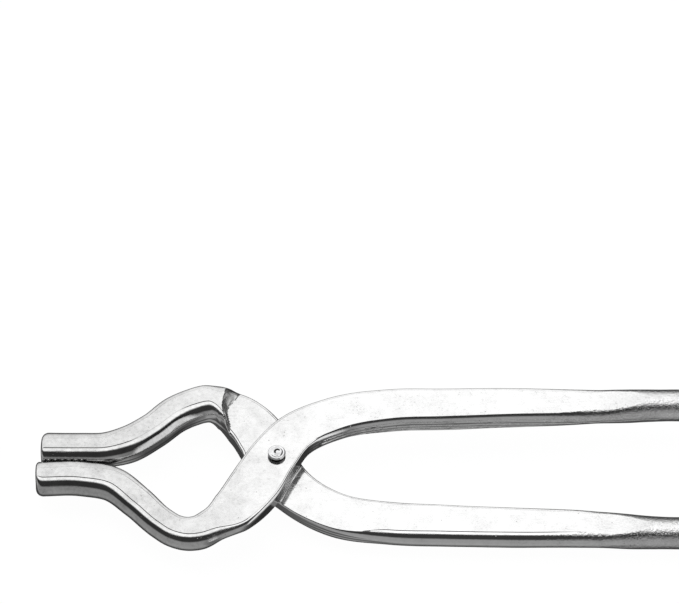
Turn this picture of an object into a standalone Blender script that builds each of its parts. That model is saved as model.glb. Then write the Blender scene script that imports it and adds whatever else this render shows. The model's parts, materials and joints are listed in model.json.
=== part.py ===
"""Crucible tongs: two forged steel arms that lap at a riveted pivot.

Each arm is one forging. From its tip it runs through a serrated jaw, a gripping bow, a cranked
step, a flat boss with the rivet hole and a flat shank, into a round handle rod. The upper arm lies
on the lower arm at the boss. The lower arm is the same idea turned over about X, with its own
outline. A headed rivet through both bosses is the pivot.

Frame: origin at the centre of the closed tongs' bounding box. +Z is the rivet's axis, towards its
head, and z = 0 lies midway between the two bosses. -X runs to the jaw tips, +X to the handle ends.
The upper arm's handle is on the +Y side. The rivet's axis stands at (PIVOT_X, PIVOT_Y).

Each piece is drawn about the rivet's axis and then placed there, so that its origin is on the
hinge. Dimensions are in millimetres and become metres as each mesh is made.
"""

import math
from collections import namedtuple

import bmesh
import bpy
from mathutils import Matrix

MM = 0.001

# ---- whole tongs ---------------------------------------------------------------------------
OVERALL = 350.0  # longer jaw's tip to the handle ends
TIP_TO_PIVOT = 75.2  # longer jaw's tip to the rivet's axis
PIVOT_X = TIP_TO_PIVOT - OVERALL / 2
PIVOT_Y = 1.15  # the upper arm's bow reaches out 2.3 mm further than the lower arm's
ARM_T = 6.25  # thickness of boss and shank
LAP_GAP = 0.30  # running gap between the two bosses
MATE_Z = LAP_GAP / 2  # upper boss's mating face
OUTER_Z = MATE_Z + ARM_T  # and its outer face

# ---- handle --------------------------------------------------------------------------------
ROD_D = 10.0
ROD_R = ROD_D / 2
ROD_BLEND = (100.0, 119.0)  # x over which the shank swells into the rod
ROD_END_R = 3.0  # rounding of the rod's end
HANDLE_X = 60.0  # beyond this x the thickness follows the shank and rod alone
FLAT_CUT = 0.32  # how far the flats cut into the rounder stock near their end
FLAT_SHARP = ((98.0, 109.0), (110.0, 117.0))  # x over which that cut grows, then fades

# ---- jaws and bows -------------------------------------------------------------------------
TIP_R = 1.3  # rounding round a jaw's end face
NOSE_R = 2.5  # and in plan at its outer corner
JAW_Z = (-3.9, 3.9)  # lowest and highest z of the jaw
BOW_TO_JAW = (-44.0, -58.0)  # x over which the bow's thickness becomes the jaw's
CRANK_ROUND_FADE = (-16.0, -24.0)  # x over which the crank's extra rounding fades out
GRIP_Y = 0.15  # each gripping flat's distance from the centre plane when closed
GRIP_END_X = -48.0  # where the gripping flat runs out
GROOVES = 7  # cross cuts on each gripping flat
GROOVE_START = 1.7  # jaw tip to the first groove
GROOVE_PITCH = 2.05
GROOVE_DEPTH = 0.5
GROOVE_HALF_W = 0.55
GROOVE_CUT_L = 16.0  # length of the groove cutters, past both faces of the jaw

# ---- edges ---------------------------------------------------------------------------------
CREASE_ANGLE = 24.0  # degrees, where one edge's rounding meets its broad face
MIN_EDGE_R = 0.3
MIN_HALF_FLAT = 0.4  # least half width left flat across a broad face
MIN_HALF_SIDE = 0.3  # least half height left flat up a side

# ---- rivet ---------------------------------------------------------------------------------
BORE_R = 2.3  # rivet hole in each arm
BORE_CUT_L = 20.0  # length of the hole's cutter, past both arms
RIVET_R = 2.0  # rivet shank
HEAD_R, HEAD_H = 2.8, 1.5  # rivet head, on the upper arm
TAIL_R, TAIL_H = 3.0, 1.0  # rivet's formed end, under the lower arm
SEAT_GAP = 0.30  # between each rivet end and the arm
RIM_INSET = 0.15  # how far a rivet end's seat draws in from its rim
# Outline of either rivet end from crown to rim: fraction of its radius, fraction of its height.
CROWN = ((0.0, 1.0), (0.42, 1.0), (0.72, 0.97), (0.9, 0.82), (1.0, 0.5), (1.0, 0.2))
ROUND_SEGMENTS = 32  # round the rivet and its hole
PIVOT_ARROW = 20.0  # display size of the pivot's empty

# ---- mesh spacing --------------------------------------------------------------------------
JAW_STEP = 5.0  # between cross-sections on the straight jaw
SECTION_STEP = 2.6  # on the curved parts
CRANK_STEP = 0.9  # where an arm cranks from the lap to the bow
SHANK_STEP = 8.0  # and on the straight shank
END_FRACTIONS = (0.0, 0.15, 0.5, 1.0)  # sections within an end's rounding, as parts of its radius
CORNER_STEPS = 3
ACROSS = 3  # extra points across each broad face

# ---- arms ----------------------------------------------------------------------------------
# Both arms are described as the upper one lies: jaw at -Y, handle at +Y, mating face down.
# Left and right are as seen from above, looking from the tip to the handle's end. So left is
# the jaw's inner side and the handle's outer side.
#   drop_x       x where the outer face starts to drop towards the bow, and where it ends
#   crease_edge  (side, face) of the edge with a crease: side 1 left, -1 right; face 1 outer,
#                -1 mating
#   crease_x     x over which the crease grows, then x over which it fades
#   crank_round  extra rounding of the bow's outer edge at the crank
#   bow_z        lowest and highest z of the bow
#   step         the crank in the mating face: distance from the X axis, x of foot, x of brow
#   stations     name, centre x, centre y, width across, outer face's edge radii (left, right),
#                mating face's edge radii (left, right)
ROD = [
    ("rod_start", 123.0, 21.7, ROD_D, (ROD_R, ROD_R), (ROD_R, ROD_R)),
    ("rod_run", 129.0, 21.7, ROD_D, (ROD_R, ROD_R), (ROD_R, ROD_R)),
]
UPPER = {
    "drop_x": (-4.0, -19.0),
    "crease_edge": (-1, 1),
    "crease_x": ((5.0, 17.0), (84.0, 104.0)),
    "crank_round": 0.0,
    "bow_z": (-3.45, 3.45),
    "step": ((12.0, -16.5, -11.5), (20.0, -21.5, -11.5), (30.0, -23.0, -10.5)),
    "stations": [
        ("jaw_tip", -TIP_TO_PIVOT, -5.55, 11.5, (3.9, 3.9), (3.9, 3.9)),
        ("jaw_pad_end", -60.5, -5.3, 11.7, (3.9, 3.9), (3.9, 3.9)),
        ("jaw_bend", -51.5, -7.35, 11.15, (2.4, 3.9), (2.4, 3.9)),
        ("bow_rise", -43.2, -14.4, 10.4, (1.5, 3.5), (1.5, 3.5)),
        ("bow_flank", -35.5, -22.15, 9.85, (1.3, 3.45), (1.3, 3.45)),
        ("bow_in", -31.65, -24.8, 10.0, (1.3, 3.45), (1.3, 3.45)),
        ("bow_bottom", -27.5, -25.85, 10.3, (1.3, 3.45), (1.3, 3.45)),
        ("bow_out", -23.7, -25.25, 10.6, (1.3, 3.4), (1.3, 3.45)),
        ("bow_turn", -19.9, -23.1, 11.25, (1.2, 3.0), (1.2, 3.4)),
        ("shoulder", -13.25, -18.45, 16.2, (1.0, 1.5), (1.0, 2.2)),
        ("neck", -7.2, -10.4, 17.2, (0.8, 0.9), (0.8, 0.9)),
        ("boss", -0.95, 0.4, 15.5, (0.7, 0.6), (0.7, 0.9)),
        ("shank_root", 4.85, 8.25, 14.15, (0.8, 0.6), (0.8, 1.6)),
        ("shank_bend", 18.2, 15.55, 13.45, (0.9, 2.1), (1.6, 2.2)),
        ("shank_mid", 35.95, 19.1, 12.75, (0.9, 2.5), (2.9, 0.9)),
        ("shank_a", 52.0, 19.7, 12.3, (0.9, 2.5), (3.1, 0.7)),
        ("shank_b", 76.0, 20.4, 11.6, (1.0, 2.7), (3.1, 1.2)),
        ("shank_c", 92.0, 20.6, 11.3, (1.8, 3.0), (3.1, 2.4)),
        ("shank_end", 103.5, 21.0, 11.0, (3.0, 3.5), (3.6, 3.5)),
        ("rod_blend", 113.0, 21.4, 10.4, (4.5, 4.6), (4.6, 4.6)),
        *ROD,
    ],
}
LOWER = {
    "drop_x": (-12.0, -24.0),
    "crease_edge": (1, -1),
    "crease_x": ((0.0, 8.0), (18.0, 36.0)),
    "crank_round": 2.3,
    "bow_z": (-4.2, 5.0),
    "step": (
        (15.5, -16.6, -14.7),
        (20.0, -17.5, -15.7),
        (22.0, -17.3, -15.2),
        (25.0, -16.8, -13.0),
        (27.0, -17.0, -11.5),
        (29.0, -19.5, -9.5),
    ),
    "stations": [
        ("jaw_tip", -73.8, -5.45, 11.3, (3.9, 3.6), (3.9, 3.6)),
        ("jaw_pad_end", -60.5, -5.4, 11.1, (3.9, 3.4), (3.9, 3.4)),
        ("jaw_bend", -53.2, -5.55, 11.05, (4.0, 2.8), (4.0, 2.8)),
        ("bow_foot", -46.7, -7.3, 10.95, (4.2, 1.8), (4.2, 1.8)),
        ("bow_rise", -38.7, -12.45, 10.6, (4.6, 1.6), (4.2, 1.6)),
        ("bow_flank", -31.45, -18.9, 10.9, (4.6, 1.6), (4.2, 1.6)),
        ("bow_in", -26.8, -21.35, 10.85, (4.6, 1.6), (4.1, 1.6)),
        ("bow_bottom", -21.7, -22.95, 10.95, (4.4, 1.6), (4.0, 1.6)),
        ("bow_out", -18.1, -22.75, 12.1, (3.0, 1.4), (3.0, 1.5)),
        ("bow_turn", -14.7, -21.55, 13.7, (1.8, 1.2), (2.0, 1.2)),
        ("shoulder", -8.5, -16.5, 15.4, (1.1, 1.0), (1.0, 0.9)),
        ("neck", -3.95, -9.75, 16.3, (1.0, 1.0), (0.8, 0.9)),
        ("boss", 0.0, 1.3, 16.1, (2.6, 1.2), (0.7, 1.0)),
        ("shank_root", 6.25, 8.55, 14.55, (3.0, 0.9), (0.6, 0.8)),
        ("shank_bend", 18.45, 16.2, 13.7, (2.2, 0.6), (0.9, 0.6)),
        ("shank_mid", 36.05, 19.4, 13.65, (2.9, 0.6), (2.9, 0.9)),
        ("shank_a", 52.05, 20.1, 13.25, (3.1, 0.7), (3.1, 0.7)),
        ("shank_b", 76.0, 20.6, 12.65, (3.1, 1.0), (3.1, 1.0)),
        ("shank_c", 92.0, 20.7, 12.25, (3.2, 1.6), (3.3, 1.6)),
        ("shank_end", 103.5, 20.9, 11.7, (3.6, 2.9), (3.7, 2.9)),
        ("rod_blend", 113.0, 21.4, 10.7, (4.6, 4.5), (4.6, 4.5)),
        *ROD,
    ],
}
Row = namedtuple("Row", "x y width outer_left outer_right mate_left mate_right")


# ---- smooth curves -------------------------------------------------------------------------
def clamp(value):
    return min(max(value, 0.0), 1.0)


def ramp(x, start, end):
    """Smooth rise from 0 at start to 1 at end, which may lie either way along x."""
    share = clamp((x - start) / (end - start))
    return share * share * (3.0 - 2.0 * share)


def hump(x, rise, fall):
    """Smooth rise over one span of x and fall over another."""
    return ramp(x, *rise) * (1.0 - ramp(x, *fall))


def mix(a, b, share):
    return a + (b - a) * share


def span_index(knots, at):
    """Index of the span between knots that holds a value; the end spans reach outwards."""
    i = 0
    while i < len(knots) - 2 and at > knots[i + 1]:
        i += 1
    return i


def spans_and_slopes(knots, values):
    spans = [b - a for a, b in zip(knots, knots[1:])]
    return spans, [(b - a) / span for a, b, span in zip(values, values[1:], spans)]


def centred_slopes(knots, values):
    """Slopes at the knots that make a flowing curve, for the centre line."""
    spans, slopes = spans_and_slopes(knots, values)
    inner = [
        (slopes[i - 1] * spans[i] + slopes[i] * spans[i - 1]) / (spans[i - 1] + spans[i])
        for i in range(1, len(spans))
    ]
    return [slopes[0], *inner, slopes[-1]]


def level_slopes(knots, values):
    """Slopes at the knots that never overshoot, for widths and radii."""
    spans, slopes = spans_and_slopes(knots, values)
    out = [slopes[0]] + [0.0] * (len(spans) - 1) + [slopes[-1]]
    for i in range(1, len(spans)):
        if slopes[i - 1] * slopes[i] > 0:
            a, b = spans[i], spans[i - 1]
            out[i] = 3 * (a + b) / ((2 * a + b) / slopes[i - 1] + (a + 2 * b) / slopes[i])
    return out


def cubic(knots, values, slopes, at):
    """Value of the Hermite cubic through the knots."""
    i = span_index(knots, at)
    span = knots[i + 1] - knots[i]
    s = (at - knots[i]) / span
    return (
        (1 + 2 * s) * (1 - s) ** 2 * values[i]
        + s * (1 - s) ** 2 * span * slopes[i]
        + s * s * (3 - 2 * s) * values[i + 1]
        + s * s * (s - 1) * span * slopes[i + 1]
    )


class Spine:
    """An arm's centre line with its width and edge radii, as smooth curves of the run along it."""

    HEADING_REACH = 0.05  # run to either side over which the heading is taken

    def __init__(self, stations):
        rows = [(x, y, width, *outer, *mate) for _, x, y, width, outer, mate in stations]
        self.knots = [0.0]
        for a, b in zip(rows, rows[1:]):
            self.knots.append(self.knots[-1] + math.hypot(b[0] - a[0], b[1] - a[1]))
        self.length = self.knots[-1]
        self.marks = {station[0]: knot for station, knot in zip(stations, self.knots)}
        self.columns = [list(column) for column in zip(*rows)]
        self.slopes = [
            (centred_slopes if k < 2 else level_slopes)(self.knots, column)
            for k, column in enumerate(self.columns)
        ]

    def at(self, run):
        pairs = zip(self.columns, self.slopes)
        return Row(*(cubic(self.knots, column, slopes, run) for column, slopes in pairs))

    def heading(self, run):
        a = self.at(max(run - self.HEADING_REACH, 0.0))
        b = self.at(min(run + self.HEADING_REACH, self.length))
        length = math.hypot(b.x - a.x, b.y - a.y)
        return (b.x - a.x) / length, (b.y - a.y) / length


# ---- arms ----------------------------------------------------------------------------------
def step_edges(arm, distance):
    """x of the crank's foot and brow in the mating face, at a distance from the X axis."""
    table = arm["step"]
    i = span_index([entry[0] for entry in table], distance)
    (near, *near_edges), (far, *far_edges) = table[i], table[i + 1]
    share = clamp((distance - near) / (far - near))
    return [mix(a, b, share) for a, b in zip(near_edges, far_edges)]


def faces_z(arm, x, y):
    """(lowest, highest) z of an arm at plan position x, y."""
    if x > HANDLE_X:
        middle = (MATE_Z + OUTER_Z) / 2
        half = mix(ARM_T / 2, ROD_R, ramp(x, *ROD_BLEND))
        return middle - half, middle + half
    to_jaw = ramp(x, *BOW_TO_JAW)
    jaw_low, jaw_high = (mix(bow, jaw, to_jaw) for bow, jaw in zip(arm["bow_z"], JAW_Z))
    foot, brow = step_edges(arm, abs(y))
    step = ramp(x, brow, foot)
    drop = ramp(x, *arm["drop_x"])
    return mix(MATE_Z, jaw_low, step), mix(OUTER_Z, jaw_high, drop)


def rounding(distance, radius):
    """How far a surface draws in at a distance from an end face with rounded edges."""
    if distance >= radius:
        return 0.0
    return radius - math.sqrt(max(radius**2 - (radius - distance) ** 2, 0.0))


def crank_rounding(arm, row, heading, half_w):
    """Extra radius of the mating face's right edge where the arm steps down to the bow."""
    x, y = row.x + heading[1] * half_w, row.y - heading[0] * half_w
    fallen = clamp((MATE_Z - faces_z(arm, x, y)[0]) / (MATE_Z - arm["bow_z"][0]))
    return arm["crank_round"] * fallen * (1.0 - ramp(x, *CRANK_ROUND_FADE))


def corner(arm, x, side, face, radius, half_w, half_t):
    """One edge's rounding, from side to broad face, with a crease where the flat cuts deeper."""
    radius_w = min(radius, half_w - MIN_HALF_FLAT)
    radius_t = min(radius, half_t - MIN_HALF_SIDE)
    crease = math.acos(max(1.0 - FLAT_CUT * hump(x, *FLAT_SHARP) / radius_t, 0.0))
    if (side, face) == arm["crease_edge"]:
        crease = max(crease, math.radians(CREASE_ANGLE) * hump(x, *arm["crease_x"]))
    centre = half_t - radius_t * math.cos(crease)
    points = []
    for k in range(CORNER_STEPS + 1):
        angle = (math.pi / 2 - crease) * k / CORNER_STEPS
        across = side * (half_w - radius_w + radius_w * math.cos(angle))
        points.append((across, face * (centre + radius_t * math.sin(angle))))
    return points


def between(a, b):
    """The extra points across a broad face."""
    return [(mix(a[0], b[0], k / (ACROSS + 1)), a[1]) for k in range(1, ACROSS + 1)]


def section(arm, row, heading, inset):
    """One closed cross-section, clockwise when looked at from the tip's side."""
    low, high = faces_z(arm, row.x, row.y)
    full_half_t = (high - low) / 2
    half_w, half_t = row.width / 2 - inset, full_half_t - inset
    mate_right = row.mate_right + crank_rounding(arm, row, heading, half_w)
    outer_left, outer_right, mate_right, mate_left = (
        corner(arm, row.x, side, face, max(radius - inset, MIN_EDGE_R), half_w, half_t)
        for side, face, radius in (
            (1, 1, row.outer_left),
            (-1, 1, row.outer_right),
            (-1, -1, mate_right),
            (1, -1, row.mate_left),
        )
    )
    ring = outer_left + between(outer_left[-1], outer_right[-1]) + outer_right[::-1]
    ring += mate_right + between(mate_right[-1], mate_left[-1]) + mate_left[::-1]
    points = []
    for across, up in ring:
        x, y = row.x - heading[1] * across, row.y + heading[0] * across
        if x < GRIP_END_X:
            y = min(y, -GRIP_Y)  # the gripping flat is ground level
        low, high = faces_z(arm, x, y)
        z = (low + high) / 2 + up * (high - low) / 2 / full_half_t
        points.append((x * MM, y * MM, z * MM))
    return points


def evenly(first, last, step):
    """Even spacing from first up to, but not including, last."""
    count = max(1, math.ceil((last - first) / step))
    return [first + (last - first) * k / count for k in range(count)]


def section_runs(marks):
    """Runs along the spine at which an arm's cross-sections stand, short of the plain rod."""
    runs = [TIP_R * fraction for fraction in END_FRACTIONS]
    runs += evenly(NOSE_R, marks["jaw_pad_end"], JAW_STEP)
    for first, last, step in (
        ("jaw_pad_end", "bow_out", SECTION_STEP),
        ("bow_out", "shoulder", CRANK_STEP),
        ("shoulder", "shank_mid", SECTION_STEP),
        ("shank_mid", "shank_c", SHANK_STEP),
        ("shank_c", "rod_run", SECTION_STEP),
    ):
        runs += evenly(marks[first], marks[last], step)
    return runs


def arm_rings(arm):
    """All cross-sections of an arm, from the jaw's end face to the rod's rounded end."""
    spine = Spine(arm["stations"])
    rings = []
    for run in section_runs(spine.marks):
        row, heading = spine.at(run), spine.heading(run)
        inset = rounding(run, TIP_R)
        nose = rounding(run, NOSE_R) - inset  # taken off the outer side only
        row = row._replace(
            x=row.x - heading[1] * nose / 2,
            y=row.y + heading[0] * nose / 2,
            width=row.width - nose,
        )
        rings.append(section(arm, row, heading, inset))

    rod, along_x = spine.at(spine.length), (1.0, 0.0)
    rings.append(section(arm, rod, along_x, 0.0))
    for fraction in reversed(END_FRACTIONS):
        from_end = ROD_END_R * fraction
        row = rod._replace(x=OVERALL - TIP_TO_PIVOT - from_end)
        rings.append(section(arm, row, along_x, rounding(from_end, ROD_END_R)))
    return rings


def finish_mesh(name, bm):
    mesh = bpy.data.meshes.new(name)
    bm.to_mesh(mesh)
    bm.free()
    return mesh


def arm_mesh(name, arm):
    """The closed loft through an arm's cross-sections."""
    bm = bmesh.new()
    loops = [[bm.verts.new(point) for point in ring] for ring in arm_rings(arm)]
    count = len(loops[0])
    for a, b in zip(loops, loops[1:]):
        for k in range(count):
            after = (k + 1) % count
            bm.faces.new((a[k], a[after], b[after], b[k]))
    bm.faces.new(loops[0][::-1])
    bm.faces.new(loops[-1])
    return finish_mesh(name, bm)


# ---- cutters and rivet ---------------------------------------------------------------------
def add_prism(bm, segments, radius, length, matrix):
    bmesh.ops.create_cone(
        bm,
        cap_ends=True,
        segments=segments,
        radius1=radius,
        radius2=radius,
        depth=length,
        matrix=matrix,
    )


def bore_mesh(name):
    bm = bmesh.new()
    add_prism(bm, ROUND_SEGMENTS, BORE_R * MM, BORE_CUT_L * MM, Matrix.Identity(4))
    return finish_mesh(name, bm)


def groove_mesh(name, tip_x):
    """The V-shaped cross cuts of one gripping flat, each a triangular prism standing on Z."""
    # A triangle of radius 1 is stretched along X to the V's slope; its point is 1 from its axis.
    stretch = GROOVE_HALF_W / GROOVE_DEPTH * math.tan(math.radians(60))
    y = -GRIP_Y - GROOVE_DEPTH + 1.0
    bm = bmesh.new()
    for k in range(GROOVES):
        x = tip_x + GROOVE_START + GROOVE_PITCH * k
        matrix = (
            Matrix.Translation((x * MM, y * MM, 0.0))
            @ Matrix.Diagonal((stretch * MM, MM, MM, 1.0))
            @ Matrix.Rotation(math.pi, 4, "Z")
        )
        add_prism(bm, 3, 1.0, GROOVE_CUT_L, matrix)
    return finish_mesh(name, bm)


def rivet_profile():
    """Radius and height down the rivet's outer side, from the head's crown to the tail."""
    seat = OUTER_Z + SEAT_GAP

    def button(radius, height, up):
        crown = [(radius * r, up * (seat + height * h)) for r, h in CROWN]
        return crown + [(radius - RIM_INSET, up * seat)]

    shank = [(RIVET_R, seat), (RIVET_R, -seat)]
    return button(HEAD_R, HEAD_H, 1) + shank + button(TAIL_R, TAIL_H, -1)[::-1]


def rivet_mesh(name):
    """The rivet's profile as a line of edges in the XZ plane."""
    points = [(r * MM, 0.0, z * MM) for r, z in rivet_profile()]
    mesh = bpy.data.meshes.new(name)
    mesh.from_pydata(points, [(k, k + 1) for k in range(len(points) - 1)], [])
    return mesh


# ---- scene ---------------------------------------------------------------------------------
PLACE = (PIVOT_X * MM, PIVOT_Y * MM, 0.0)
TURNED_OVER = math.pi  # about X


def add_collection(name, hidden=False):
    made = bpy.data.collections.new(name)
    bpy.context.scene.collection.children.link(made)
    made.hide_render = hidden
    return made


def add_object(name, data, into, turn=0.0):
    """An object with its origin on the rivet's axis."""
    obj = bpy.data.objects.new(name, data)
    into.objects.link(obj)
    obj.location = PLACE
    obj.rotation_euler = (turn, 0.0, 0.0)
    return obj


def add_cutter(name, mesh, into, turn=0.0):
    obj = add_object(name, mesh, into, turn)
    obj.hide_render = True
    obj.display_type = "WIRE"
    return obj


def steel(name, colour, roughness):
    made = bpy.data.materials.new(name)
    made.use_nodes = True
    shader = made.node_tree.nodes["Principled BSDF"]
    shader.inputs["Base Color"].default_value = (*colour, 1.0)
    shader.inputs["Metallic"].default_value = 1.0
    shader.inputs["Roughness"].default_value = roughness
    made.diffuse_color = (*colour, 1.0)
    return made


def cut(obj, cutter, name):
    modifier = obj.modifiers.new(name, "BOOLEAN")
    modifier.operation = "DIFFERENCE"
    modifier.solver = "EXACT"
    modifier.object = cutter


def add_arm(name, arm, turn, tongs, cutters, bore):
    obj = add_object(name, arm_mesh(name, arm), tongs, turn)
    plated = steel(name + "_plated_steel", colour=(0.78, 0.79, 0.80), roughness=0.18)
    obj.data.materials.append(plated)
    obj.data.shade_smooth()
    obj.data.set_sharp_from_angle(angle=math.radians(35))

    cutter_name = name + "_groove_cutter"
    tip_x = arm["stations"][0][1]
    grooves = add_cutter(cutter_name, groove_mesh(cutter_name, tip_x), cutters, turn)
    cut(obj, bore, "rivet_hole")
    cut(obj, grooves, "grip_grooves")
    return obj


def add_rivet(tongs):
    rivet = add_object("pivot_rivet", rivet_mesh("pivot_rivet"), tongs)
    rivet.data.materials.append(
        steel("rivet_steel", colour=(0.74, 0.74, 0.75), roughness=0.28)
    )
    screw = rivet.modifiers.new("turned", "SCREW")
    screw.axis = "Z"
    screw.steps = screw.render_steps = ROUND_SEGMENTS
    screw.use_merge_vertices = True
    screw.merge_threshold = 0.01 * MM
    screw.use_smooth_shade = True


def main():
    for obj in list(bpy.data.objects):
        bpy.data.objects.remove(obj, do_unlink=True)
    tongs = add_collection("crucible_tongs")
    cutters = add_collection("cutters", hidden=True)
    bore = add_cutter("bore_cutter", bore_mesh("bore_cutter"), cutters)

    # The upper arm turns about this empty, which stands on the rivet's axis.
    pivot = add_object("pivot_axis", None, tongs)
    pivot.empty_display_type = "SINGLE_ARROW"
    pivot.empty_display_size = PIVOT_ARROW * MM

    add_arm("lower_arm", LOWER, TURNED_OVER, tongs, cutters, bore)
    upper = add_arm("upper_arm", UPPER, 0.0, tongs, cutters, bore)
    upper.parent = pivot
    upper.location = (0.0, 0.0, 0.0)
    add_rivet(tongs)


main()
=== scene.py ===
"""Steel tongs with bowed jaws: two crossing forged arms on a headed rivet.

The tongs lie flat, jaws towards -x and round handle rods towards +x. Each arm is modelled in its
own frame, in millimetres from the pivot: its bow and jaw on the -y side, its handle on +y, the
mating face below and the outer face above. The lower arm is then turned half round about x.
"""
import json
import math

import bmesh
import bpy
from mathutils import Matrix, Vector, noise


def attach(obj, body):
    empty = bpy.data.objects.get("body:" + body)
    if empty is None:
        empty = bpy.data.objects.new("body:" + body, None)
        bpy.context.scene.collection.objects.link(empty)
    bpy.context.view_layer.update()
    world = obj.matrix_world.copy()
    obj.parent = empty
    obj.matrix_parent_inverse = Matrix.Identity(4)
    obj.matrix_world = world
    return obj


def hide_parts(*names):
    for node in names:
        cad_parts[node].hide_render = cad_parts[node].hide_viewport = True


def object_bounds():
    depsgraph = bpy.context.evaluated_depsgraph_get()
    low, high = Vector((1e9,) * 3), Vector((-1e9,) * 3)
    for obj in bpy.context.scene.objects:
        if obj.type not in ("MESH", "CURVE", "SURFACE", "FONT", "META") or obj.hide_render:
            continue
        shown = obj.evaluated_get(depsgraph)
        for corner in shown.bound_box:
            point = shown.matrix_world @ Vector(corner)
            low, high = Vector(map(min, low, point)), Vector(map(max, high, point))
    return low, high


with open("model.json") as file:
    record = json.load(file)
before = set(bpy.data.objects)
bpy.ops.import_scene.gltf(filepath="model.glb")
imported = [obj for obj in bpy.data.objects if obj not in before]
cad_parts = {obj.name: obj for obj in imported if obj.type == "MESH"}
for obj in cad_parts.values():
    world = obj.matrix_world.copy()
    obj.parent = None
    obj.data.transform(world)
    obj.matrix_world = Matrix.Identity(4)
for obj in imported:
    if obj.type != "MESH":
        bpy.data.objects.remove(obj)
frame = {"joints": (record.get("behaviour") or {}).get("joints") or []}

CAD_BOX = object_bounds()
MM = 0.001
PER_METRE = 1000.0
PIVOT = Vector(frame["joints"][0]["pos_m"])

# ---------------------------------------------------------------- dimensions, mm from the pivot
LAP_GAP, ARM_T, ROD_D = 0.30, 6.25, 10.0
LAP_LOW, LAP_HIGH = LAP_GAP / 2, LAP_GAP / 2 + ARM_T    # an arm's two faces at the lap
JAW_LOW, JAW_HIGH = -3.9, 3.9
TO_JAW = (-44.0, -58.0)         # x over which bow thickness becomes jaw thickness
HANDLE_X = 60.0                 # beyond this the handle is symmetric about the lap thickness
ROD_BLEND = (100.0, 119.0)
FLAT_SINKS, FLAT_ENDS = (98.0, 109.0), (110.0, 117.0)
FLAT_SINK = 0.32                # how deep the flats cut into the rounder stock
CREASE_ANGLE = 24.0             # degrees
ROD_END_R, TIP_R, NOSE_R = 3.0, 1.3, 2.5
TIP_DOME = 0.30
GROOVES, GROOVE_START, GROOVE_PITCH = 7, 1.7, 2.05
GROOVE_DEPTH, GROOVE_HALF_W = 0.5, 0.62
GROOVES_END = GROOVE_START + GROOVES * GROOVE_PITCH
GRIP_Y, GRIP_END_X = 0.15, -48.0
END_X = CAD_BOX[1].x / MM - PIVOT.x / MM
LEDGE = 0.16                    # shoulder beside the broad faces
BORE_R, BORE_LENGTH = 2.3, 30.0
RIVET_SEAT = LAP_HIGH + 0.3     # height of the underside of either rivet head
RIVET_SHANK_R = 2.0
CORNER, ACROSS, WALL = 10, 24, 16   # section segments: corner, broad face, side wall
ROD_STEPS = 60

# Stations: name, centre x, centre y, width, then the corner radii (left, right, looking from the
# jaw to the handle) on the outer face and on the mating face.
ROD_R = ROD_D / 2
ROD = [
    ("rod_start", 123.0, 21.7, ROD_D, (ROD_R, ROD_R), (ROD_R, ROD_R)),
    ("rod_run", 129.0, 21.7, ROD_D, (ROD_R, ROD_R), (ROD_R, ROD_R)),
]
# Other entries of an arm:
#   drop_x      x where the outer face leaves the lap height, and where it reaches the bow's
#   crease      corner (side, up) that is creased, x range where it fades in, and where it fades out
#   ridge       height of the line along the bow's +y wall
#   lines       strength of the lines along the handle walls
#   bow_z       mating and outer face of the bow
#   step        distance from the x axis; there, x where the mating face reaches the bow's height
#               (foot) and x where it leaves the lap plane (brow)
UPPER = {
    "name": "upper_arm",
    "turned": False,
    "seed": 4.0,
    "drop_x": (-4.0, -19.0),
    "crease": ((-1, 1), (5.0, 17.0), (84.0, 104.0)),
    "ridge": 0.0,
    "lines": 1.0,
    "bow_z": (-3.45, 3.45),
    "step": ((12.0, -16.5, -11.5), (20.0, -21.5, -11.5), (30.0, -23.0, -10.5)),
    "stations": [
        ("jaw_tip", -75.2, -5.55, 11.5, (3.9, 3.9), (3.9, 3.9)),
        ("jaw_pad_end", -60.5, -5.3, 11.7, (3.9, 3.9), (3.9, 3.9)),
        ("jaw_bend", -51.5, -7.35, 11.15, (2.4, 3.9), (2.4, 3.9)),
        ("bow_rise", -43.2, -14.4, 10.4, (1.5, 3.5), (1.5, 3.5)),
        ("bow_flank", -35.5, -22.15, 9.85, (1.3, 3.45), (1.3, 3.45)),
        ("bow_in", -31.65, -24.8, 10.0, (1.3, 3.45), (1.3, 3.45)),
        ("bow_bottom", -27.5, -25.85, 10.3, (1.3, 3.45), (1.3, 3.45)),
        ("bow_out", -23.7, -25.25, 10.6, (1.3, 3.4), (1.3, 3.45)),
        ("bow_turn", -19.9, -23.1, 11.25, (1.2, 3.0), (1.2, 3.4)),
        ("shoulder", -13.25, -18.45, 16.2, (1.0, 1.5), (1.0, 2.2)),
        ("neck", -7.2, -10.4, 17.2, (0.8, 0.9), (0.8, 0.9)),
        ("boss", -0.95, 0.4, 15.5, (0.7, 0.6), (0.7, 0.9)),
        ("shank_root", 4.85, 8.25, 14.15, (0.8, 0.6), (0.8, 1.6)),
        ("shank_bend", 18.2, 15.55, 13.45, (0.9, 2.1), (1.6, 2.2)),
        ("shank_mid", 35.95, 19.1, 12.75, (0.9, 2.5), (2.9, 0.9)),
        ("shank_a", 52.0, 19.7, 12.3, (0.9, 2.5), (3.1, 0.7)),
        ("shank_b", 76.0, 20.4, 11.6, (1.0, 2.7), (3.1, 1.2)),
        ("shank_c", 92.0, 20.6, 11.3, (1.8, 3.0), (3.1, 2.4)),
        ("shank_end", 103.5, 21.0, 11.0, (3.0, 3.5), (3.6, 3.5)),
        ("rod_blend", 113.0, 21.4, 10.4, (4.5, 4.6), (4.6, 4.6)),
    ]
    + ROD,
}
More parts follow.
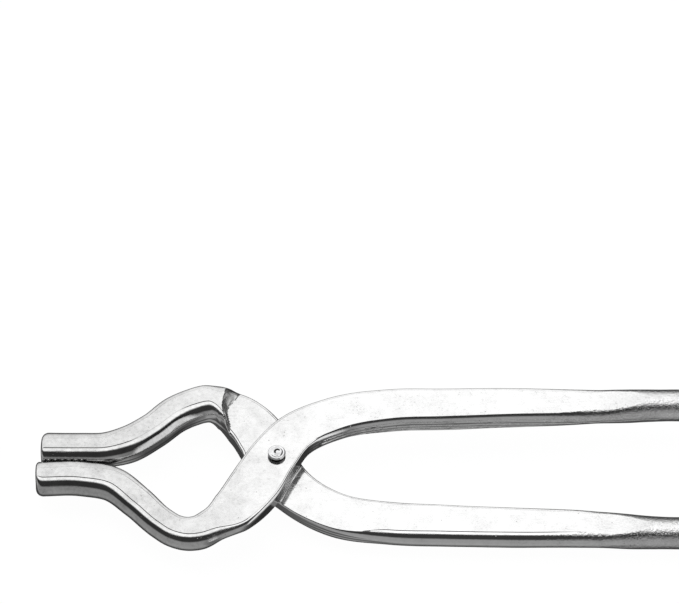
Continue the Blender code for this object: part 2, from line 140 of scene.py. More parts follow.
LOWER = {
    "name": "lower_arm",
    "turned": True,
    "seed": 11.0,
    "drop_x": (-12.0, -24.0),
    "crease": ((1, -1), (0.0, 8.0), (18.0, 36.0)),
    "ridge": 0.11,
    "lines": 0.25,
    "bow_z": (-4.2, 5.0),
    "step": (
        (15.5, -16.6, -14.7), (20.0, -17.5, -15.7), (22.0, -17.3, -15.2),
        (25.0, -16.8, -13.0), (27.0, -17.0, -11.5), (29.0, -19.5, -9.5),
    ),
    "stations": [
        ("jaw_tip", -73.8, -5.45, 11.3, (3.9, 3.6), (3.9, 3.6)),
        ("jaw_pad_end", -60.5, -5.4, 11.1, (3.9, 3.4), (3.9, 3.4)),
        ("jaw_bend", -53.2, -5.55, 11.05, (4.0, 2.8), (4.0, 2.8)),
        ("bow_foot", -46.7, -7.3, 10.95, (4.2, 1.8), (4.2, 1.8)),
        ("bow_rise", -38.7, -12.45, 10.6, (4.6, 1.6), (4.2, 1.6)),
        ("bow_flank", -31.45, -18.9, 10.9, (4.6, 1.6), (4.2, 1.6)),
        ("bow_in", -26.8, -21.35, 10.85, (4.6, 1.6), (4.1, 1.6)),
        ("bow_bottom", -21.7, -22.95, 10.95, (4.4, 1.6), (4.0, 1.6)),
        ("bow_out", -18.1, -22.75, 12.1, (3.0, 1.4), (3.0, 1.5)),
        ("bow_turn", -14.7, -21.55, 13.7, (1.8, 1.2), (2.0, 1.2)),
        ("shoulder", -8.5, -16.5, 15.4, (1.1, 1.0), (1.0, 0.9)),
        ("neck", -3.95, -9.75, 16.3, (1.0, 1.0), (0.8, 0.9)),
        ("boss", 0.0, 1.3, 16.1, (2.6, 1.2), (0.7, 1.0)),
        ("shank_root", 6.25, 8.55, 14.55, (3.0, 0.9), (0.6, 0.8)),
        ("shank_bend", 18.45, 16.2, 13.7, (2.2, 0.6), (0.9, 0.6)),
        ("shank_mid", 36.05, 19.4, 13.65, (2.9, 0.6), (2.9, 0.9)),
        ("shank_a", 52.05, 20.1, 13.25, (3.1, 0.7), (3.1, 0.7)),
        ("shank_b", 76.0, 20.6, 12.65, (3.1, 1.0), (3.1, 1.0)),
        ("shank_c", 92.0, 20.7, 12.25, (3.2, 1.6), (3.3, 1.6)),
        ("shank_end", 103.5, 20.9, 11.7, (3.6, 2.9), (3.7, 2.9)),
        ("rod_blend", 113.0, 21.4, 10.7, (4.6, 4.5), (4.6, 4.5)),
    ]
    + ROD,
}


# ---------------------------------------------------------------- curves
def clamp(share):
    return min(max(share, 0.0), 1.0)


def lerp(start, end, share):
    return start + (end - start) * share


def ease(x, start, end):
    """Smooth step from 0 at start to 1 at end; end may lie below start."""
    share = clamp((x - start) / (end - start))
    return share * share * (3.0 - 2.0 * share)


def bell(x, centre, spread, power=2):
    return math.exp(-(((x - centre) / spread) ** power))


def rounding(distance, radius):
    """How far a rounded edge draws in at a distance from the end."""
    if distance >= radius:
        return 0.0
    return radius - math.sqrt(max(radius * radius - (radius - distance) ** 2, 0.0))


def slopes_along(places, values, level):
    """Slopes for a cubic through the points; level ones keep it from overshooting."""
    gaps = [after - before for before, after in zip(places, places[1:])]
    rises = [(after - before) / gap for before, after, gap in zip(values, values[1:], gaps)]
    slopes = []
    for gap, next_gap, rise, next_rise in zip(gaps, gaps[1:], rises, rises[1:]):
        if not level:
            slopes.append((rise * next_gap + next_rise * gap) / (gap + next_gap))
        elif rise * next_rise > 0:
            weighted = (2 * next_gap + gap) / rise + (next_gap + 2 * gap) / next_rise
            slopes.append(3 * (next_gap + gap) / weighted)
        else:
            slopes.append(0.0)
    return [rises[0], *slopes, rises[-1]]


class Spine:
    """The stations joined by cubics over the length of the polyline through their centres."""

    def __init__(self, arm):
        rows = [(*station[1:4], *station[4], *station[5]) for station in arm["stations"]]
        self.places = [0.0]
        for row, after in zip(rows, rows[1:]):
            self.places.append(self.places[-1] + math.hypot(after[0] - row[0], after[1] - row[1]))
        self.marks = dict(zip((station[0] for station in arm["stations"]), self.places))
        self.columns = []
        for k, values in enumerate(zip(*rows)):
            self.columns.append((values, slopes_along(self.places, values, level=k >= 2)))

    def at(self, place):
        """x, y, width and the four radii."""
        i = 0
        while i < len(self.places) - 2 and place > self.places[i + 1]:
            i += 1
        gap = self.places[i + 1] - self.places[i]
        s = (place - self.places[i]) / gap
        return [
            (1 + 2 * s) * (1 - s) ** 2 * values[i]
            + s * (1 - s) ** 2 * gap * slopes[i]
            + s * s * (3 - 2 * s) * values[i + 1]
            + s * s * (s - 1) * gap * slopes[i + 1]
            for values, slopes in self.columns
        ]

    def heading(self, place):
        before = self.at(max(place - 0.05, 0.0))
        after = self.at(min(place + 0.05, self.places[-1]))
        run = math.hypot(after[0] - before[0], after[1] - before[1])
        return (after[0] - before[0]) / run, (after[1] - before[1]) / run


# ---------------------------------------------------------------- arm sections
def step_edges(arm, y):
    """x of the foot and brow of the mating face's step, at a distance y from the x axis."""
    table = arm["step"]
    i = 0
    while i < len(table) - 2 and y > table[i + 1][0]:
        i += 1
    share = clamp((y - table[i][0]) / (table[i + 1][0] - table[i][0]))
    return tuple(lerp(table[i][k], table[i + 1][k], share) for k in (1, 2))


def faces_z(arm, x, y):
    """Heights of the mating face and the outer face."""
    if x > HANDLE_X:
        middle = (LAP_LOW + LAP_HIGH) / 2
        half = lerp(ARM_T / 2, ROD_R, ease(x, *ROD_BLEND))
        return middle - half, middle + half
    to_jaw = ease(x, *TO_JAW)
    low = lerp(arm["bow_z"][0], JAW_LOW, to_jaw)
    high = lerp(arm["bow_z"][1], JAW_HIGH, to_jaw)
    foot, brow = step_edges(arm, abs(y))
    return (
        lerp(LAP_LOW, low, ease(x, brow, foot)),
        lerp(LAP_HIGH, high, ease(x, *arm["drop_x"])),
    )


def groove_depth(arm, x):
    """Depth of the cross cuts in the gripping flat."""
    first = arm["stations"][0][1] + GROOVE_START
    k = round((x - first) / GROOVE_PITCH)
    if not 0 <= k < GROOVES:
        return 0.0
    off = abs(x - first - k * GROOVE_PITCH)
    return GROOVE_DEPTH * max(0.0, 1.0 - off / GROOVE_HALF_W) ** 0.85


def crease_angle(arm, x, quarter, radius):
    """Angle at which a corner's rounding meets the flat; 0 is tangent."""
    sunk = FLAT_SINK * ease(x, *FLAT_SINKS) * (1.0 - ease(x, *FLAT_ENDS))
    angle = math.acos(max(1.0 - sunk / radius, 0.0))
    creased, fade_in, fade_out = arm["crease"]
    if quarter == creased:
        share = math.radians(CREASE_ANGLE) * ease(x, *fade_in) * (1.0 - ease(x, *fade_out))
        angle = max(angle, share)
    return angle


def between(start, end, count):
    return [
        tuple(a + (b - a) * k / (count + 1) for a, b in zip(start, end))
        for k in range(1, count + 1)
    ]


def section(arm, row, heading, inset, ledge):
    """One closed cross-section, drawn in by inset, with a small shoulder beside the flats."""
    centre_x, centre_y, width, outer_left, outer_right, mate_left, mate_right = row
    low, high = faces_z(arm, centre_x, centre_y)
    half_w, half_t = width / 2 - inset, (high - low) / 2 - inset

    if arm["ridge"]:  # this arm's right edge is rounded off where the bow meets the lap
        edge = centre_x + heading[1] * half_w, centre_y - heading[0] * half_w
        fall = clamp((LAP_LOW - faces_z(arm, *edge)[0]) / (LAP_LOW - arm["bow_z"][0]))
        mate_right += 2.3 * fall * (1.0 - ease(edge[0], -16.0, -24.0))

    def corner(side, up, radius):
        radius = max(radius - inset, 0.25)
        radius_w, radius_t = min(radius, half_w - 0.12), min(radius, half_t - 0.05)
        crease = crease_angle(arm, centre_x, (side, up), radius_t)
        cut = min(ledge, radius_t * 0.25) * (1.0 - ease(crease, 0.0, 0.2))
        middle = half_t - radius_t * math.cos(crease)
        arc = []
        for k in range(CORNER + 1):
            angle = (math.pi / 2 - crease) * k / CORNER
            across = side * (half_w - radius_w + radius_w * math.cos(angle))
            arc.append((across, up * (middle + (radius_t - cut) * math.sin(angle))))
        radius_w -= radius_w * math.sin(crease)
        arc.append((side * max(half_w - radius_w - 1.15 * cut - 0.01, 0.03), up * half_t))
        return arc

    corners = (
        corner(1, 1, outer_left),
        corner(-1, 1, outer_right)[::-1],
        corner(-1, -1, mate_right),
        corner(1, -1, mate_left)[::-1],
    )
    outline = []
    for k, arc in enumerate(corners):
        count = WALL if k % 2 else ACROSS
        outline += arc + between(arc[-1], corners[(k + 1) % 4][0], count)

    points = []
    for across, z in outline:
        x, y = centre_x - heading[1] * across, centre_y + heading[0] * across
        if x < GRIP_END_X:
            y = min(y, -GRIP_Y - groove_depth(arm, x))
        low, high = faces_z(arm, x, y)
        points.append((x, y, (low + high) / 2 + z * (high - low) / 2 / (half_t + inset)))
    return points


def ring_places(marks):
    """Places of the sections from the jaw tip to the rod, closest where the shape turns."""
    legs = (  # start, greatest step
        (TIP_R, GROOVE_PITCH / 10),
        (GROOVES_END, 0.75),
        (marks["bow_bottom"], 0.28),
        (marks["neck"], 0.75),
        (marks["shank_mid"], 1.5),
        (marks["shank_end"], 0.75),
        (marks["rod_run"], None),
    )
    places = [TIP_R * share for share in (0.0, 0.04, 0.14, 0.3, 0.5, 0.75)]
    for (first, step), (last, _) in zip(legs, legs[1:]):
        count = max(1, math.ceil((last - first) / step))
        places += [first + (last - first) * k / count for k in range(count)]
    return places


def forged_ring(arm, spine, place):
    row, heading = spine.at(place), spine.heading(place)
    if place < NOSE_R:  # the right side of the tip has the larger nose radius
        nose = rounding(place, NOSE_R) - rounding(place, TIP_R)
        row[0] -= heading[1] * nose / 2
        row[1] += heading[0] * nose / 2
        row[2] -= nose
    ledge = LEDGE * (1.0 - ease(row[0], 84.0, 98.0)) * ease(place, 0.0, TIP_R)
    ring = section(arm, row, heading, rounding(place, TIP_R), ledge)
    if place < TIP_R:  # the end face is very slightly domed
        fall = TIP_DOME * (1.0 - place / TIP_R)
        ring = [(x + fall * ((y - row[1]) / (row[2] / 2)) ** 2, y, z) for x, y, z in ring]
    return ring


def rod_rings(arm, spine):
    """The straight rod and its rounded end."""
    start_x, *rest = spine.at(spine.places[-1])
    straight = END_X - ROD_END_R - start_x
    to_end = [ROD_END_R + straight * (1 - k / ROD_STEPS) for k in range(ROD_STEPS)]
    to_end += [ROD_END_R * share for share in (1.0, 0.8, 0.6, 0.42, 0.27, 0.15, 0.06, 0.015, 0.0)]
    return [
        section(arm, [END_X - left, *rest], (1.0, 0.0), rounding(left, ROD_END_R), ledge=0.0)
        for left in to_end
    ]


# ---------------------------------------------------------------- arm surface
def unevenness(place, seed):
    """Slow waviness that hammering and polishing leave, in millimetres."""
    wide = noise.noise(place * 0.055 + Vector((seed, 3.1, 7.7)))
    near = noise.noise(place * 0.16 + Vector((9.3, seed, 1.9)))
    return wide * 0.085 + near * 0.030


def wall_lines(arm, x, z, side):
    """Shallow lines along the bow wall and the handle walls, in millimetres outward."""
    if x < 4.0:
        if side < 0:
            return 0.0
        ridge = bell(z, centre=1.3, spread=0.40) - 0.8 * bell(z, centre=0.3, spread=0.45)
        return arm["ridge"] * ridge * ease(x, -56.0, -48.0) * (1.0 - ease(x, -18.0, -12.0))
    share = arm["lines"] * ease(x, 4.0, 18.0) * (1.0 - 0.7 * ease(x, 84.0, 108.0))
    drift = noise.noise(Vector((x * 0.03, side * 4.0, 2.2))) * 0.6
    drift += noise.noise(Vector((x * 0.11, side * 4.0, 5.2))) * 0.12
    up = z - drift
    return share * (0.085 * math.sin(up * 5.1) + 0.040 * math.sin(up * 9.3 + 1.3 + side))


def weather(arm, shape):
    """Moves the vertices along their normals; the lap near the pivot and the grip stay true."""
    shape.normal_update()
    for vert in shape.verts:
        x, y, z = vert.co
        calm = ease(math.hypot(x, y), 4.0, 10.0)
        grip = 1.0 - ease(x, GRIP_END_X - 3.0, GRIP_END_X - 6.0) * ease(y + 2.2, 0.0, 1.2)
        shift = vert.normal * unevenness(vert.co, arm["seed"]) * calm * grip
        upright = abs(vert.normal.z)
        if upright < 0.55 and x < ROD_BLEND[1]:
            side = 1.0 if vert.normal.y > 0 else -1.0
            shift = shift + vert.normal * wall_lines(arm, x, z, side) * (1.0 - upright / 0.55)
        vert.co += shift
        if vert.co.x < GRIP_END_X:  # the jaw keeps to its own side of the gripping plane
            vert.co.y = min(vert.co.y, -GRIP_Y + 0.02)


def new_object(shape, name):
    mesh = bpy.data.meshes.new(name)
    shape.to_mesh(mesh)
    shape.free()
    obj = bpy.data.objects.new(name, mesh)
    bpy.context.scene.collection.objects.link(obj)
    return obj


def placed_object(shape, name, turned=False):
    """Object from a shape in millimetres about the pivot."""
    turn = Matrix.Rotation(math.pi if turned else 0.0, 4, "X")
    place = Matrix.Translation(PIVOT) @ turn @ Matrix.Scale(MM, 4)
    bmesh.ops.transform(shape, matrix=place, verts=shape.verts)
    return new_object(shape, name)


def bore(obj):
    """Cuts the rivet hole."""
    shape = bmesh.new()
    radius = BORE_R * MM
    bmesh.ops.create_cone(
        shape, cap_ends=True, segments=64, radius1=radius, radius2=radius,
        depth=BORE_LENGTH * MM, matrix=Matrix.Translation(PIVOT),
    )
    tool = new_object(shape, "tool")
    modifier = obj.modifiers.new("rivet_hole", "BOOLEAN")
    modifier.operation, modifier.solver, modifier.object = "DIFFERENCE", "EXACT", tool
    bpy.context.view_layer.update()
    graph = bpy.context.evaluated_depsgraph_get()
    made = bpy.data.meshes.new_from_object(obj.evaluated_get(graph))
    obj.modifiers.clear()
    obj.data = made
    bpy.data.objects.remove(tool)


def smooth(obj, degrees):
    obj.data.shade_smooth()
    obj.data.set_sharp_from_angle(angle=math.radians(degrees))


def arm_object(arm):
    spine = Spine(arm)
    rings = [forged_ring(arm, spine, place) for place in ring_places(spine.marks)]
    rings += rod_rings(arm, spine)
    shape = bmesh.new()
    loops = [[shape.verts.new(point) for point in ring] for ring in rings]
    count = len(loops[0])
    for loop, after in zip(loops, loops[1:]):
        for k in range(count):
            j = (k + 1) % count
            shape.faces.new((loop[k], loop[j], after[j], after[k]))
    shape.faces.new(loops[0][::-1])
    shape.faces.new(loops[-1])
    weather(arm, shape)
    return placed_object(shape, arm["name"] + "_forging", arm["turned"])


# ---------------------------------------------------------------- rivet
HEAD = {"radius": 2.8, "height": 1.5, "dome": 0.10}
TAIL = {"radius": 2.96, "height": 1.0, "dome": 0.16}
RIVET_SEGMENTS = 72


def button(up, radius, height, dome):
    """Profile (radius, z) of one rivet head, from its middle to its seat."""
    rows = [(radius * 0.05 * k, height - dome * (0.05 * k) ** 2) for k in range(1, 17)]
    top = rows[-1][1]
    for angle in (math.pi / 2 * k / 7 for k in range(1, 8)):
        across = radius * 0.83 + radius * 0.17 * math.sin(angle)
        rows.append((across, top - (top * 0.42) * (1 - math.cos(angle))))
    rows += [(radius - 0.05, top * 0.40), (radius - 0.18, top * 0.18), (radius - 0.36, 0.0)]
    return [(across, up * (RIVET_SEAT + z)) for across, z in rows]


def strike_heads(shape):
    """Uneven heads; the upper one has a dimple and a ring groove."""
    for vert in shape.verts:
        if abs(vert.co.z) <= RIVET_SEAT + 0.02:
            continue
        x, y, z = vert.co
        wave = noise.noise(vert.co * 0.9 + Vector((5, 2, 8))) * 0.05
        vert.co += Vector((0, 0, 1 if z > 0 else -1)) * wave
        if z > 0:
            off = math.hypot(x - 0.25, y - 0.1)  # the dimple sits a little off centre
            dimple = 0.24 * bell(off, centre=0.0, spread=0.80, power=4)
            lip = 0.10 * bell(off, centre=1.25, spread=0.20)
            vert.co.z -= dimple - lip
            vert.co.z -= 0.12 * bell(math.hypot(x, y), centre=2.02, spread=0.16)


def rivet_object():
    shank = [(RIVET_SHANK_R, RIVET_SEAT), (RIVET_SHANK_R, -RIVET_SEAT)]
    rows = button(1, **HEAD) + shank + button(-1, **TAIL)[::-1]
    turns = [2 * math.pi * k / RIVET_SEGMENTS for k in range(RIVET_SEGMENTS)]
    shape = bmesh.new()
    loops = [
        [shape.verts.new((r * math.cos(turn), r * math.sin(turn), z)) for turn in turns]
        for r, z in rows
    ]
    top = shape.verts.new((0, 0, RIVET_SEAT + HEAD["height"]))
    bottom = shape.verts.new((0, 0, -RIVET_SEAT - TAIL["height"]))
    for k in range(RIVET_SEGMENTS):
        j = (k + 1) % RIVET_SEGMENTS
        shape.faces.new((top, loops[0][k], loops[0][j]))
        shape.faces.new((bottom, loops[-1][j], loops[-1][k]))
        for loop, after in zip(loops, loops[1:]):
            shape.faces.new((loop[k], after[k], after[j], loop[j]))
    strike_heads(shape)
    return placed_object(shape, "pivot_rivet_headed")


# ---------------------------------------------------------------- shader helpers
class Nodes:
    """Adds nodes to a cleared tree. An input takes a number, a tuple or another node's output."""

    def __init__(self, tree):
        self.tree = tree
        tree.nodes.clear()

    def add(self, kind, inputs=None, **settings):
        node = self.tree.nodes.new(kind)
        for key, value in settings.items():
            setattr(node, key, value)
        for key, value in (inputs or {}).items():
            socket = node.inputs[key]
            if isinstance(value, bpy.types.NodeSocket):
                self.tree.links.new(value, socket)
            elif socket.type == "RGBA":
                socket.default_value = (*value, 1.0)
            else:
                socket.default_value = value
        return node

    def math(self, operation, *values):
        inputs = dict(enumerate(values))
        return self.add("ShaderNodeMath", inputs, operation=operation).outputs[0]

    def times(self, first, second):
        return self.math("MULTIPLY", first, second)

    def scale_add(self, value, scale, plus):
        return self.math("MULTIPLY_ADD", value, scale, plus)

    def stack(self, base, *layers):
        """Adds each (value, amount) to base."""
        for value, amount in layers:
            base = self.scale_add(value, scale=amount, plus=base)
        return base

    def ramp(self, value, *stops):
        """Linear ramp through (position, grey or colour) stops."""
        node = self.add("ShaderNodeValToRGB", {0: value})
        elements = node.color_ramp.elements
        while len(elements) > 1:
            elements.remove(elements[-1])
        for k, (place, shade) in enumerate(stops):
            element = elements.new(place) if k else elements[0]
            element.position = place
            element.color = (*(shade if isinstance(shade, tuple) else (shade,) * 3), 1.0)
        return node.outputs[0]

    def noise(self, vector, scale, detail, rough=0.5):
        inputs = {"Scale": scale, "Detail": detail, "Roughness": rough, "Vector": vector}
        return self.add("ShaderNodeTexNoise", inputs).outputs[0]

    def mapped(self, vector, scale=(1, 1, 1), offset=(0, 0, 0)):
        inputs = {"Scale": scale, "Location": offset, "Vector": vector}
        return self.add("ShaderNodeMapping", inputs).outputs[0]

    def mix(self, first, second, amount, blend="MIX"):
        inputs = {"A": first, "B": second, "Factor": amount}
        node = self.add("ShaderNodeMix", inputs, data_type="RGBA", blend_type=blend)
        return node.outputs["Result"]

    def coordinates(self, kind):
        """The coordinate vector and its separate axes."""
        vector = self.add("ShaderNodeTexCoord").outputs[kind]
        return vector, self.add("ShaderNodeSeparateXYZ", {0: vector}).outputs

    def bump(self, height):
        """Bump from a height in millimetres."""
        return self.add("ShaderNodeBump", {"Distance": MM, "Height": height}).outputs[0]

    def metal(self, colour, roughness, normal):
        inputs = {"Metallic": 1.0, "Base Color": colour, "Roughness": roughness, "Normal": normal}
        self.output(self.add("ShaderNodeBsdfPrincipled", inputs))

    def output(self, shader, kind="ShaderNodeOutputMaterial"):
        self.add(kind, {0: shader.outputs[0]})


def new_material(name):
    made = bpy.data.materials.new(name)
    made.use_nodes = True
    return made, Nodes(made.node_tree)


# ---------------------------------------------------------------- plated steel
BRIGHT, DULL = (0.985, 0.985, 0.985), (0.80, 0.80, 0.797)
STAIN, FLECK, SPECK = (0.60, 0.60, 0.60), (0.45, 0.45, 0.445), (0.30, 0.30, 0.295)
PIT_DARK, SCALE_AND_SHADE_DARK = (0.30, 0.295, 0.29), (0.10, 0.098, 0.095)
PLATE_ROUGH = 0.055


def plate_marks(nodes, seed):
    """The textures and masks that the plate's relief, colour and roughness share."""
    coord, axes = nodes.coordinates("Object")
    offset = (seed * 13.7, seed * 5.1, seed * 3.3)
    mm = nodes.mapped(coord, scale=(PER_METRE,) * 3, offset=offset)
    from_pivot = nodes.scale_add(axes["X"], scale=PER_METRE, plus=-PIVOT.x / MM)
    across = nodes.scale_add(axes["Y"], scale=PER_METRE, plus=-PIVOT.y / MM)
    along_handle = nodes.math("DIVIDE", from_pivot, 150.0)

    # pits at the middles of some cells
    cells = nodes.add("ShaderNodeTexVoronoi", {"Scale": 0.42, "Vector": mm}, feature="F1")
    pit_field = nodes.noise(nodes.mapped(mm, offset=(31, 7, 2)), scale=0.35, detail=1.0)
    pit = nodes.ramp(cells.outputs["Distance"], (0.0, 1.0), (0.05, 0.85), (0.10, 0.0))

    # scratches, running with the arms
    lengthwise = nodes.mapped(mm, scale=(0.14, 3.0, 3.0))
    streak = nodes.ramp(
        nodes.noise(lengthwise, scale=1.0, detail=3.0, rough=0.6),
        (0.0, 0.0), (0.58, 0.0), (0.64, 1.0), (0.68, 0.0),
    )
    patches = nodes.noise(nodes.mapped(mm, offset=(3, 17, 5)), scale=0.10, detail=1.0)

    # scale left in the gripping faces of the jaws, plus painted shade for the dark gap where the
    # jaws meet
    off_plane = nodes.math("ABSOLUTE", across)
    near_plane = nodes.ramp(off_plane, (0.0, 1.0), (0.20, 1.0), (0.55, 0.0))

    grain_space = nodes.mapped(mm, scale=(0.8, 1.1, 1.1), offset=(7, 1, 4))
    return {
        "from_pivot": from_pivot,
        "along_handle": along_handle,
        "dull": nodes.ramp(  # strongest on the jaws and bows, none on the handles
            nodes.scale_add(from_pivot, scale=0.01, plus=0.80),
            (0.0, 1.0), (0.34, 1.0), (0.50, 0.80), (0.68, 0.42), (0.82, 0.16), (1.0, 0.0),
        ),
        "peel": nodes.noise(mm, scale=0.9, detail=3.0, rough=0.55),
        "mottle": nodes.noise(mm, scale=0.95, detail=5.0, rough=0.72),
        "grain": nodes.noise(grain_space, scale=1.8, detail=2.0, rough=0.6),
        "cloud": nodes.noise(mm, scale=0.16, detail=4.0, rough=0.62),
        "pit": nodes.times(pit, nodes.math("GREATER_THAN", pit_field, 0.53)),
        "scratch": nodes.times(streak, nodes.ramp(patches, (0.44, 0.0), (0.60, 1.0))),
        "skin": nodes.ramp(  # the coarser skin of the drawn-down part and the rod
            along_handle,
            (0.0, 0.0), (0.52, 0.0), (0.68, 0.8), (0.84, 1.0), (0.95, 0.75), (1.0, 0.7),
        ),
        "coarse": nodes.noise(mm, scale=1.25, detail=3.0, rough=0.7),
        "gripping": nodes.times(near_plane, nodes.math("LESS_THAN", from_pivot, -49.0)),
    }


def plate_relief(nodes, marks):
    """Bump; the amounts are heights in millimetres."""
    return nodes.bump(nodes.stack(
        nodes.times(marks["peel"], 0.0080),
        (marks["mottle"], 0.0100),
        (marks["grain"], 0.0050),
        (marks["pit"], -0.035),
        (marks["scratch"], -0.004),
        (nodes.times(marks["coarse"], marks["skin"]), 0.21),
    ))


def plate_colour(nodes, marks):
    dull, cloud = marks["dull"], marks["cloud"]
    stain = nodes.times(
        nodes.ramp(cloud, (0.38, 0.0), (0.66, 1.0)),
        nodes.scale_add(dull, scale=0.52, plus=0.22),
    )
    flecks = nodes.times(
        nodes.ramp(marks["mottle"], (0.46, 0.0), (0.66, 1.0)),
        nodes.scale_add(dull, scale=0.34, plus=0.10),
    )
    specks = nodes.times(
        nodes.ramp(marks["grain"], (0.56, 0.0), (0.72, 1.0)),
        nodes.ramp(cloud, (0.48, 0.0), (0.62, 1.0)),
    )
    scratch = nodes.times(marks["scratch"], 0.16)
    colour = BRIGHT
    for shade, amount in (
        (DULL, dull),
        (STAIN, stain),
        (FLECK, flecks),
        (SPECK, nodes.times(specks, 0.45)),
        (PIT_DARK, nodes.scale_add(marks["pit"], scale=0.75, plus=scratch)),
        # painted shade and scale: the gripping faces of the jaws are darkened in colour
        (SCALE_AND_SHADE_DARK, nodes.times(marks["gripping"], 0.80)),
    ):
        colour = nodes.mix(colour, shade, amount)
    return colour


def plate_roughness(nodes, marks):
    mottle = marks["mottle"]
    crank = nodes.ramp(  # the hammered crank between boss and bow
        nodes.scale_add(marks["from_pivot"], scale=0.02, plus=0.60),
        (0.16, 0.0), (0.24, 1.0), (0.36, 1.0), (0.46, 0.0),
    )
    return nodes.stack(
        PLATE_ROUGH,
        (nodes.ramp(mottle, (0.3, 0.0), (0.7, 1.0)), 0.07),
        (marks["skin"], 0.04),
        (nodes.times(crank, nodes.ramp(mottle, (0.35, 0.5), (0.6, 1.0))), 0.15),
        (marks["scratch"], 0.12),
        (marks["gripping"], 0.25),
    )


def plate_normal(nodes, marks):
    """The relief's normal, leant towards +y on the rods, which shifts their reflections."""
    lean = nodes.ramp(marks["along_handle"], (0.0, 0.0), (0.64, 0.0), (0.80, 0.21), (1.0, 0.21))
    lean = nodes.add("ShaderNodeCombineXYZ", {"Y": lean}).outputs[0]
    relief = plate_relief(nodes, marks)
    leant = nodes.add("ShaderNodeVectorMath", {0: relief, 1: lean}, operation="ADD").outputs[0]
    return nodes.add("ShaderNodeVectorMath", {0: leant}, operation="NORMALIZE").outputs[0]


def plated_steel(name, seed):
    """Bright plate over forged steel, duller and more mottled on the jaws and bows."""
    made, nodes = new_material(name)
    marks = plate_marks(nodes, seed)
    nodes.metal(
        colour=plate_colour(nodes, marks),
        roughness=plate_roughness(nodes, marks),
        normal=plate_normal(nodes, marks),
    )
    return made


def rivet_steel():
    made, nodes = new_material("rivet_satin_steel")
    coord, axes = nodes.coordinates("Object")
    mm = nodes.mapped(coord, scale=(PER_METRE,) * 3, offset=(2.0, 9.0, 4.0))
    peel = nodes.noise(mm, scale=1.8, detail=4.0, rough=0.6)
    fine = nodes.noise(mm, scale=6.0, detail=3.0, rough=0.6)
    height = nodes.stack(nodes.times(peel, 0.022), (fine, 0.004))
    # painted shade: the side wall of each head, below its top, is darkened in colour for the shade
    # and dark reflection there
    above_seat = nodes.scale_add(
        nodes.math("ABSOLUTE", axes["Z"]), scale=PER_METRE, plus=-RIVET_SEAT)
    painted_wall_shade = nodes.ramp(above_seat, (0.0, 0.12), (0.55, 0.16), (0.95, 0.30), (1.12, 1.0))
    shade = nodes.ramp(peel, (0.3, (0.72, 0.72, 0.73)), (0.7, (0.90, 0.90, 0.905)))
    nodes.metal(
        colour=nodes.mix(shade, painted_wall_shade, amount=1.0, blend="MULTIPLY"),
        roughness=nodes.scale_add(fine, scale=0.10, plus=0.05),
        normal=nodes.bump(height),
    )
    return made


# ---------------------------------------------------------------- pieces
lower, upper = arm_object(LOWER), arm_object(UPPER)
for piece in (lower, upper):
    bore(piece)
    smooth(piece, degrees=26)
rivet = rivet_object()
smooth(rivet, degrees=40)
for piece, material, body, node, slot in (
    (lower, plated_steel("lower_arm_plate", seed=2.0), "lower", "lower_arm", "plated_steel"),
    (upper, plated_steel("upper_arm_plate", seed=1.0), "upper", "upper_arm", "plated_steel"),
    (rivet, rivet_steel(), "lower", "pivot_rivet", "rivet_steel"),
):
    piece.data.materials.append(material)
    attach(piece, body)
    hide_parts(node)


# ---------------------------------------------------------------- stage, light and camera
def stage_floor():
    """A glowing pale floor just under the tongs, clear when seen from underneath."""
    shape = bmesh.new()
    bmesh.ops.create_grid(shape, x_segments=1, y_segments=1, size=6.0)
    floor = new_object(shape, "studio_floor")
    floor.location = (0.0, 0.0, CAD_BOX[0].z - 0.0001)
    made, nodes = new_material("pale_floor")
    glow = nodes.add("ShaderNodeEmission", {"Color": (1.0, 1.0, 1.0), "Strength": 0.97})
    matt = nodes.add("ShaderNodeBsdfDiffuse", {"Color": (0.10, 0.10, 0.10)})
    both = nodes.add("ShaderNodeAddShader", {0: glow.outputs[0], 1: matt.outputs[0]})
    clear = nodes.add("ShaderNodeBsdfTransparent")
    beneath = nodes.add("ShaderNodeNewGeometry").outputs["Backfacing"]
    nodes.output(nodes.add(
        "ShaderNodeMixShader", {0: beneath, 1: both.outputs[0], 2: clear.outputs[0]}))
    floor.data.materials.append(made)
    floor.visible_glossy = False


# Brightness by angle about the x axis: degrees up from the +y horizon, value.
SHEET = (
    (-58, 0.0), (-20, 0.02), (-5, 0.25), (7, 0.72), (18, 0.86), (32, 0.92), (46, 0.99),
    (58, 1.06), (68, 1.12), (76, 1.25), (83, 1.10), (89, 0.18), (95, 0.0),
)
ROOM = (
    (-180, 0.30), (-146, 0.34), (-130, 0.29), (-117, 0.12), (-100, 0.06), (-60, 0.05),
    (-30, 0.05), (60, 0.03), (95, 0.035), (137, 0.035), (146, 0.24), (154, 0.30), (180, 0.30),
)


def sheet_and_room(nodes, axes):
    """A broad white sheet over and behind the tongs, and a dim room on the camera's side."""
    # the sheet's near edge curves away towards its two ends
    past = nodes.math("SUBTRACT", nodes.math("ABSOLUTE", axes["X"]), 0.3)
    y = nodes.scale_add(nodes.math("MAXIMUM", past, 0.0), scale=-0.6, plus=axes["Y"])
    turn = nodes.math("ARCTAN2", axes["Z"], y)
    place = nodes.scale_add(turn, scale=0.5 / math.pi, plus=0.5)

    def by_angle(table):
        return nodes.ramp(place, *((degrees / 360.0 + 0.5, value) for degrees, value in table))

    # a dark flag to the right of the sheet
    flag = nodes.ramp(
        axes["X"], (0.0, 0.0), (0.30, 0.0), (0.41, 1.0), (0.66, 1.0), (0.84, 0.86), (1.0, 0.84))
    bright = nodes.times(by_angle(SHEET), nodes.scale_add(flag, scale=-0.95, plus=1.0))
    side = nodes.ramp(axes["X"], (0.0, 1.0), (0.36, 1.0), (0.58, 0.34), (1.0, 0.30))
    return nodes.math("ADD", bright, nodes.times(by_angle(ROOM), side))


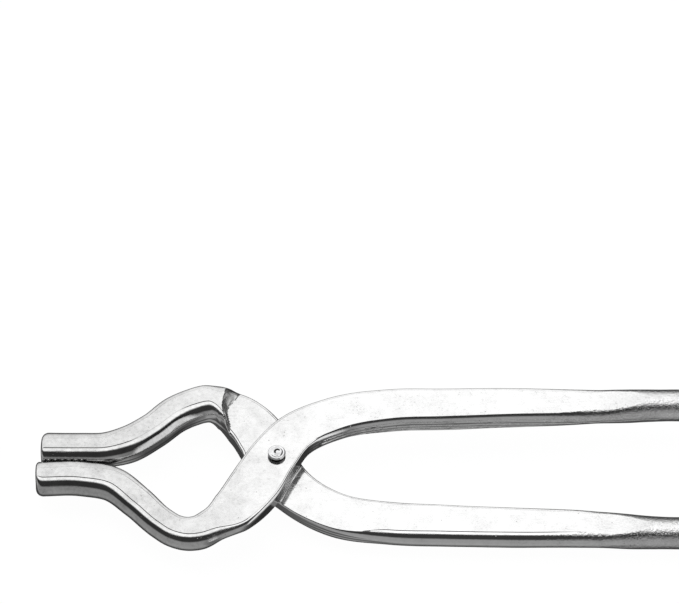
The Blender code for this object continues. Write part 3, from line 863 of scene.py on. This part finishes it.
def fills(nodes, axes):
    """A soft fill beyond the near right corner and a small one at each end."""
    right = nodes.ramp(axes["X"], (0.0, 0.0), (0.46, 0.0), (0.62, 1.0), (1.0, 1.0))
    near = nodes.ramp(
        nodes.scale_add(axes["Y"], scale=0.5, plus=0.5),
        (0.0, 1.0), (0.51, 1.0), (0.61, 0.0), (1.0, 0.0),
    )
    high = nodes.ramp(
        nodes.scale_add(axes["Z"], scale=0.5, plus=0.5),
        (0.0, 0.0), (0.40, 0.0), (0.48, 0.50), (0.56, 0.86), (0.86, 0.86), (0.895, 0.0),
    )
    corner = nodes.times(nodes.times(right, near), high)
    ends = nodes.ramp(
        nodes.math("ABSOLUTE", axes["X"]), (0.0, 0.0), (0.90, 0.0), (0.97, 0.42), (1.0, 0.50))
    return nodes.math("MAXIMUM", corner, ends)


def studio_world():
    """The camera sees plain white; everything else sees the studio."""
    world = bpy.data.worlds.new("studio")
    bpy.context.scene.world = world
    world.use_nodes = True
    nodes = Nodes(world.node_tree)
    _, axes = nodes.coordinates("Generated")
    light = nodes.math("MAXIMUM", sheet_and_room(nodes, axes), fills(nodes, axes))
    for_camera = nodes.add("ShaderNodeLightPath").outputs["Is Camera Ray"]
    studio = nodes.add("ShaderNodeBackground", {"Color": light})
    white = nodes.add("ShaderNodeBackground", {"Color": (1.0, 1.0, 1.0)})
    pick = nodes.add(
        "ShaderNodeMixShader", {0: for_camera, 1: studio.outputs[0], 2: white.outputs[0]})
    nodes.output(pick, kind="ShaderNodeOutputWorld")


VIEW_RAISED, VIEW_ROLL = 55.5, 0.42             # degrees
VIEW_WIDTH = 212.1875                           # mm across the picture at the target
TARGET_RIGHT, TARGET_UP = 19.625, 51.3125       # mm from the pivot, in the picture plane


def camera():
    """A long lens on the -y side, looking down at the tongs."""
    raised, roll = math.radians(VIEW_RAISED), math.radians(VIEW_ROLL)
    back = Vector((0.0, -math.cos(raised), math.sin(raised)))
    level = Vector((1.0, 0.0, 0.0))
    rise = Vector((0.0, math.sin(raised), math.cos(raised)))
    right = level * math.cos(roll) + rise * math.sin(roll)
    up = rise * math.cos(roll) - level * math.sin(roll)
    data = bpy.data.cameras.new("camera")
    data.lens, data.sensor_width = 400.0, 36.0
    distance = VIEW_WIDTH * MM * data.lens / data.sensor_width
    target = PIVOT + right * (TARGET_RIGHT * MM) + up * (TARGET_UP * MM)
    cam = bpy.data.objects.new("camera", data)
    bpy.context.scene.collection.objects.link(cam)
    turn = Matrix((right, up, back)).transposed().to_4x4()
    cam.matrix_world = Matrix.Translation(target + back * distance) @ turn
    data.clip_start, data.clip_end = 0.05, 50.0
    bpy.context.scene.camera = cam


stage_floor()
studio_world()
camera()
bpy.context.scene.view_settings.view_transform = "Standard"
bpy.context.scene.view_settings.look = "None"
